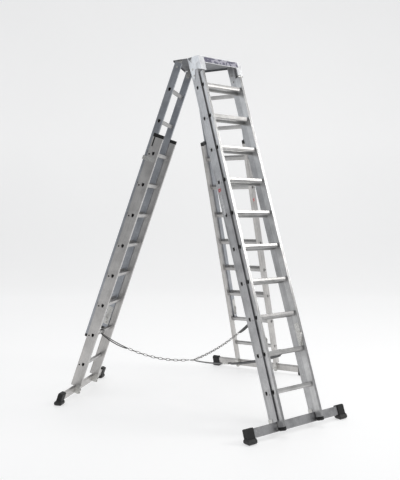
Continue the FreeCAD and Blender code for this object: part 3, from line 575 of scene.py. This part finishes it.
@dataclass
class TetherStrap:
    """One arm's webbing: an eye round the rung and a doubled run towards the ring."""

    name: str
    node: str
    leg: Leg
    body: str
    share: float
    sag: float
    start_share: float = 0.0
    roll: float = 0.0
    run_gap: float = 0.015      # between the two runs of webbing at their middle
    width: float = 0.025
    thickness: float = 0.0022
    selvedge: float = 0.003
    eye_radius: float = 0.0201
    eye_drop: float = 0.0009    # from the eye's inside to the arm's start
    steps: int = 40

    def arm_point(self, share: float) -> Vector:
        """Point on the arm's centre line.

        Args:
            share: 0 under the rung's eye, 1 at the ring.

        Returns:
            The point in the row frame.
        """
        below = self.eye_radius + self.eye_drop
        start = self.leg.frame() @ Vector((0, 0, -TETHER_LEVEL * RUNG_PITCH - below))
        flat = Vector((RING.x - start.x, RING.y - start.y, 0)).normalized()
        gap = RING_REACH + (0.0 if self.leg is Leg.A else LINK_END)
        end = RING - flat * gap
        return start.lerp(end, share) - Vector((0, 0, 4 * self.sag * share * (1 - share)))

    def section(self) -> list[tuple[float, float]]:
        """Outline of the webbing, (across, out), with a thicker selvedge along each edge."""
        half, edge = self.width / 2, self.selvedge
        rim, face, corner = self.thickness / 2, self.thickness * 0.375, self.thickness / 4
        return [(-half, -corner), (edge / 2 - half, -rim), (edge - half, -face),
                (half - edge, -face), (half - edge / 2, -rim), (half, -corner),
                (half, corner), (half - edge / 2, rim), (half - edge, face),
                (edge - half, face), (edge / 2 - half, rim), (-half, corner)]

    def band(self, mesh: bmesh.types.BMesh, points: list[Vector], level: Vector, closed: bool) -> None:
        """Adds flat webbing along points.

        Args:
            mesh: the mesh to add to.
            points: the band's centre line.
            level: direction across the band.
            closed: whether the band's ends meet.
        """
        rings, distances, run = [], [], 0.0
        count = len(points)
        for index, point in enumerate(points):
            before = points[index - 1] if index or closed else point
            after = points[(index + 1) % count] if index + 1 < count or closed else point
            out = (after - before).normalized().cross(level).normalized()
            if index:
                run += (point - points[index - 1]).length
            distances.append(run)
            rings.append([(mesh.verts.new(point + level * u + out * v), u) for u, v in self.section()])
        self.join(mesh, rings, distances, closed)
        if not closed:
            mesh.faces.new([vert for vert, _ in rings[0]])
            mesh.faces.new([vert for vert, _ in reversed(rings[-1])])

    @staticmethod
    def join(mesh: bmesh.types.BMesh, rings: list[list[tuple[bmesh.types.BMVert, float]]],
             distances: list[float], closed: bool) -> None:
        """Joins the band's outlines with faces and maps metres across and ahead onto them.

        Args:
            mesh: the mesh to add to.
            rings: for each outline its (vertex, place across) pairs.
            distances: how far along the band each outline stands.
            closed: whether the last outline joins the first.
        """
        layer = mesh.loops.layers.uv.verify()
        count = len(rings)
        last_step = 0.003
        for index in range(count if closed else count - 1):
            first, second = rings[index], rings[(index + 1) % count]
            near = distances[index]
            far = near + last_step if index + 1 == count else distances[index + 1]
            for side in range(len(first)):
                after = (side + 1) % len(first)
                corners = [(first[side], near), (first[after], near),
                           (second[after], far), (second[side], far)]
                face = mesh.faces.new([vert for (vert, _), _ in corners])
                for loop, ((_, across), ahead) in zip(face.loops, corners):
                    loop[layer].uv = (across, ahead)

    def build(self, material: bpy.types.Material, slot: str) -> bpy.types.Object:
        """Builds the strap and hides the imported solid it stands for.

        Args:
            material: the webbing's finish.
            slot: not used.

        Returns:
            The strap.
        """
        mesh = bmesh.new()
        span = self.share - self.start_share
        line = [self.arm_point(self.start_share + span * step / self.steps)
                for step in range(self.steps + 1)]
        ahead = (line[-1] - line[0]).normalized()
        level = Matrix.Rotation(self.roll, 3, ahead) @ Vector((0, 0, 1)).cross(ahead).normalized()
        self.band(mesh, line, level, False)
        if self.start_share == 0.0:
            self.band(mesh, self.lower_run(line), level, False)
            self.band(mesh, self.eye(), self.leg.frame().col[0].to_3d(), True)
        strap = new_piece(self.name, mesh, material, self.body)
        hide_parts(self.node)
        return strap

    def lower_run(self, line: list[Vector]) -> list[Vector]:
        """Second run of the doubled webbing, which bellies away below the first.

        Args:
            line: the upper run's points.

        Returns:
            The lower run's points.
        """
        clear, fullness = 0.002, 0.6
        drops = [clear + self.run_gap * math.sin(math.pi * index / self.steps) ** fullness
                 for index in range(len(line))]
        return [point - Vector((0, 0, drop)) for point, drop in zip(line, drops)]

    def eye(self) -> list[Vector]:
        """Centre line of the eye round the rung."""
        frame = self.leg.frame()
        centre = frame @ Vector((0, 0, -TETHER_LEVEL * RUNG_PITCH))
        radius = self.eye_radius + self.thickness / 2
        turns = [2 * math.pi * step / self.steps for step in range(self.steps)]
        return [centre + frame.to_3x3() @ Vector((0, math.sin(turn), math.cos(turn))) * radius
                for turn in turns]


@dataclass
class StileSticker:
    """Thin vinyl sticker on the outer face of a stile."""

    name: str
    leg: Leg
    body: str
    edge: float
    depth: float
    level: float
    width: float
    height: float
    corner: float = 0.004
    corner_steps: int = 4
    clearance: float = 0.0001
    thickness: float = 0.0004

    def outline(self) -> list[tuple[float, float]]:
        """Rounded outline, (depth, level), about the sticker's middle."""
        points = []
        for turn, (sy, sz) in enumerate(((1, 1), (-1, 1), (-1, -1), (1, -1))):
            for step in range(self.corner_steps + 1):
                angle = math.pi / 2 * (turn + step / self.corner_steps)
                points.append((sy * (self.width / 2 - self.corner) + self.corner * math.cos(angle),
                               sz * (self.height / 2 - self.corner) + self.corner * math.sin(angle)))
        return points

    def build(self, material: bpy.types.Material, slot: str) -> bpy.types.Object:
        """Builds the sticker with rounded corners.

        Args:
            material: its finish.
            slot: not used.

        Returns:
            The sticker.
        """
        mesh = bmesh.new()
        frame = self.leg.frame()
        outline = self.outline()
        side = math.copysign(1.0, self.edge)
        rows = []
        for lift in (self.clearance, self.clearance + self.thickness):
            face = self.edge + side * lift
            rows.append([mesh.verts.new(frame @ Vector((face, self.depth + y, self.level + z)))
                         for y, z in outline])
        mesh.faces.new(rows[1])
        for index in range(len(outline)):
            after = (index + 1) % len(outline)
            mesh.faces.new([rows[0][index], rows[0][after], rows[1][after], rows[1][index]])
        return new_piece(self.name, mesh, material, self.body, smooth=False)


@dataclass
class LipPlugs:
    """Black domed plugs pressed into the guide lips beside the rung ends of a support leg."""

    leg: Leg
    body: str
    depth: float = -0.033
    drop: float = 0.014
    radius: float = 0.0072
    height: float = 0.0012
    around: int = 20

    def build(self, material: bpy.types.Material) -> bpy.types.Object:
        """Builds all of one leg's plugs as one piece.

        Args:
            material: the plugs' finish.

        Returns:
            The plugs.
        """
        mesh = bmesh.new()
        for level in BASE_LEVELS:
            for side in (-1, 1):
                self.plug(mesh, level, side)
        return new_piece(f"{self.leg.key}_lip_plugs", mesh, material, self.body)

    def plug(self, mesh: bmesh.types.BMesh, level: int, side: int) -> None:
        """Adds one domed plug.

        Args:
            mesh: the mesh to add to.
            level: the rung level it stands beside.
            side: -1 for the left stile, 1 for the right.
        """
        frame = self.leg.frame()
        middle = Vector((side * STILE_FACE, self.depth, -level * RUNG_PITCH - self.drop))
        dome = ((1.0, 0.0), (0.97, 0.45), (0.82, 0.85), (0.5, 1.0))    # shares of radius and height
        turns = [2 * math.pi * step / self.around for step in range(self.around)]
        rings = []
        for share, lift in dome:
            reach = share * self.radius
            spots = [Vector((side * lift * self.height, reach * math.cos(turn), reach * math.sin(turn)))
                     for turn in turns]
            rings.append([mesh.verts.new(frame @ (middle + spot)) for spot in spots])
        for low, high in zip(rings, rings[1:]):
            for step in range(self.around):
                after = (step + 1) % self.around
                mesh.faces.new([low[step], low[after], high[after], high[step]])
        mesh.faces.new(rings[-1])
        mesh.faces.new(rings[0])


@dataclass(frozen=True)
class SoftLight:
    """Square soft light that faces a point."""

    name: str
    place: tuple[float, float, float]
    aim: tuple[float, float, float]
    power: float
    size: float
    tint: tuple[float, float, float] = (1.0, 1.0, 1.0)

    def add(self) -> None:
        """Adds the light to the scene."""
        data = bpy.data.lights.new(self.name, "AREA")
        data.energy = self.power
        data.size = self.size
        data.color = self.tint
        lamp = bpy.data.objects.new(self.name, data)
        lamp.location = self.place
        direction = Vector(self.aim) - Vector(self.place)
        lamp.rotation_euler = direction.to_track_quat("-Z", "Y").to_euler()
        bpy.context.scene.collection.objects.link(lamp)


@dataclass
class Studio:
    """Floor, lights and camera."""

    camera_place: Vector = field(default_factory=lambda: Vector((-3.56926, -4.54492, 1.61274)) + SHIFT)
    yaw: float = 37.72
    pitch: float = -2.12
    lens: float = 49.32
    sensor: float = 36.0
    lights: tuple[SoftLight, ...] = (
        SoftLight("overhead_soft", (0.3, -0.6, 7.5), (0, 0, 0.5), 185.0, 4.5),
        SoftLight("right_soft", (5.2, -5.6, 5.6), (0, 0, 1.6), 200.0, 2.8, (1.0, 0.985, 0.96)),
        SoftLight("left_soft", (-5.5, 6.0, 4.0), (0, 0, 1.6), 32.0, 3.0, (0.92, 0.96, 1.0)))
    surroundings: tuple[float, ...] = rgb(0.93, 0.95, 0.98)
    surroundings_strength: float = 0.36
    # floor, along the camera's line of sight
    floor_start: float = -14.0
    bend_start: float = 7.0
    bend_radius: float = 3.5
    bend_steps: int = 12
    wall_top: float = 12.0
    half_width: float = 16.0

    def build(self) -> None:
        """Adds everything that stands round the ladder."""
        self.floor()
        for light in self.lights:
            light.add()
        self.surround()
        self.camera()

    def floor_profile(self) -> list[tuple[float, float]]:
        """(run, rise) points of the floor: flat, then a bend, then a wall."""
        profile = [(self.floor_start, 0.0), (self.bend_start, 0.0)]
        for step in range(1, self.bend_steps + 1):
            angle = math.pi / 2 * step / self.bend_steps
            profile.append((self.bend_start + self.bend_radius * math.sin(angle),
                            self.bend_radius * (1 - math.cos(angle))))
        profile.append((self.bend_start + self.bend_radius, self.wall_top))
        return profile

    def floor(self) -> None:
        """Adds a pale floor that curves up far behind the ladder."""
        mesh = bmesh.new()
        ahead = Vector((math.sin(math.radians(self.yaw)), math.cos(math.radians(self.yaw)), 0))
        right = Vector((ahead.y, -ahead.x, 0))
        rows = [[mesh.verts.new(ahead * run + right * side + Vector((0, 0, rise)))
                 for side in (-self.half_width, self.half_width)]
                for run, rise in self.floor_profile()]
        for low, high in zip(rows, rows[1:]):
            mesh.faces.new([low[0], low[1], high[1], high[0]])
        bmesh.ops.recalc_face_normals(mesh, faces=mesh.faces)
        data = bpy.data.meshes.new("floor")
        mesh.to_mesh(data)
        mesh.free()
        for face in data.polygons:
            face.use_smooth = True
        floor = bpy.data.objects.new("floor", data)
        bpy.context.scene.collection.objects.link(floor)
        data.materials.append(StudioFloor().build())

    def surround(self) -> None:
        """Sets the studio's pale surroundings and the plain view transform."""
        world = bpy.data.worlds.new("studio_surroundings")
        world.use_nodes = True
        background = world.node_tree.nodes["Background"]
        background.inputs["Color"].default_value = self.surroundings
        background.inputs["Strength"].default_value = self.surroundings_strength
        bpy.context.scene.view_settings.view_transform = "Standard"
        bpy.context.scene.world = world

    def camera(self) -> None:
        """Adds the camera and makes it the scene's."""
        data = bpy.data.cameras.new("camera")
        data.lens = self.lens
        data.sensor_width = self.sensor
        camera = bpy.data.objects.new("camera", data)
        camera.location = self.camera_place
        camera.rotation_euler = (math.radians(90 + self.pitch), 0, -math.radians(self.yaw))
        bpy.context.scene.collection.objects.link(camera)
        bpy.context.scene.camera = camera


def add_straps(finishes: dict[str, bpy.types.Material]) -> None:
    """Adds the visible webbing of the tether's three arms.

    Args:
        finishes: the materials by key.
    """
    dark, pale = finishes["strap"], finishes["pale_strap"]
    root = Section.A.value
    twist, sag = 0.7, 0.045
    TetherStrap("climbing_leg_strap", "a_strap", Leg.A, root, 0.555, sag, roll=twist,
                run_gap=0.004).build(dark, "webbing")
    TetherStrap("ring_end_strap", "ring_strap", Leg.A, root, 1.0, sag, start_share=0.62,
                roll=twist).build(dark, "webbing")
    TetherStrap("b_leg_strap", "b_strap", Leg.B, "b_tether", 0.31, 0.076).build(pale, "webbing_light")
    TetherStrap("c_leg_strap", "c_strap", Leg.C, "c_tether", 0.24, 0.042).build(pale, "webbing_light")


def add_stickers() -> None:
    """Adds the blank stickers on the left stiles of legs A and C."""
    red = Sticker("red_vinyl", rgb(0.50, 0.06, 0.07), rgb(0.72, 0.45, 0.45), 80.0).build()
    grey = Sticker("grey_vinyl", rgb(0.50, 0.50, 0.51), rgb(0.72, 0.72, 0.73), 120.0).build()
    depth, square = 0.012, (0.030, 0.030)
    for name, leg, body, level, size, vinyl in (
            ("a_red_sticker", Leg.A, Section.A, -1.185, square, red),
            ("a_data_strip", Leg.A, Section.A, -1.310, (0.024, 0.170), grey),
            ("c_red_sticker", Leg.C, Section.C, -1.240, square, red)):
        StileSticker(name, leg, body.value, -STILE_FACE, depth, level, *size).build(vinyl, "label")


def main() -> None:
    """Dresses the frame, adds the soft parts and stickers, and sets the studio."""
    logging.basicConfig(level=logging.INFO, format="%(message)s")
    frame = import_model()
    sections = DressedSections(frame)
    sections.dress()
    add_straps(sections.finishes)
    add_stickers()
    for leg, section in ((Leg.B, Section.B), (Leg.C, Section.C)):
        LipPlugs(leg, section.value).build(sections.finishes["plastic"])
    Studio().build()


if __name__ == "__main__":
    main()
